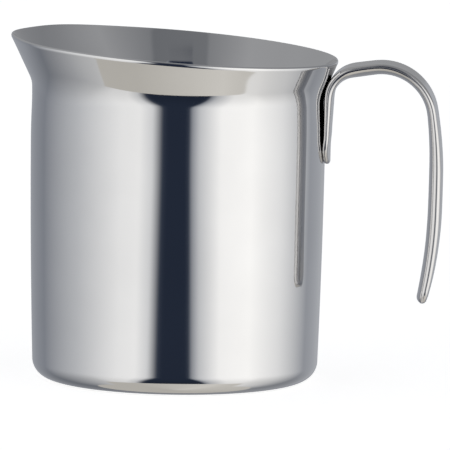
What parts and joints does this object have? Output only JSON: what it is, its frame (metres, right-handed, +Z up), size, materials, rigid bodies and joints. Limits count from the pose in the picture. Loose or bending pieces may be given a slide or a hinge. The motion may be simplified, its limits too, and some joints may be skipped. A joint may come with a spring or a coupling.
{
  "type": "milk frothing pitcher",
  "caption": "Drawn stainless steel jug with a flared mouth, a broad pouring spout, a slanting rim and an open strip handle spot-welded to the wall.",
  "frame": {"origin": "centre of the standing ring, on the jug's axis, in the plane it stands on", "axes": "+Z up along the jug's axis, +X towards the handle, so -X is the spout; +Y across the mouth"},
  "size_m": [0.1365, 0.1018, 0.1085],
  "materials": {
    "jug_steel": "mirror-polished stainless steel",
    "handle_steel": "polished stainless steel strip",
    "weld_steel": "resistance-welded stainless steel, dull"
  },
  "bodies": {
    "root": {"jug_body": "jug_steel", "handle": "handle_steel", "spot_welds": "weld_steel"}
  },
  "joints": []
}
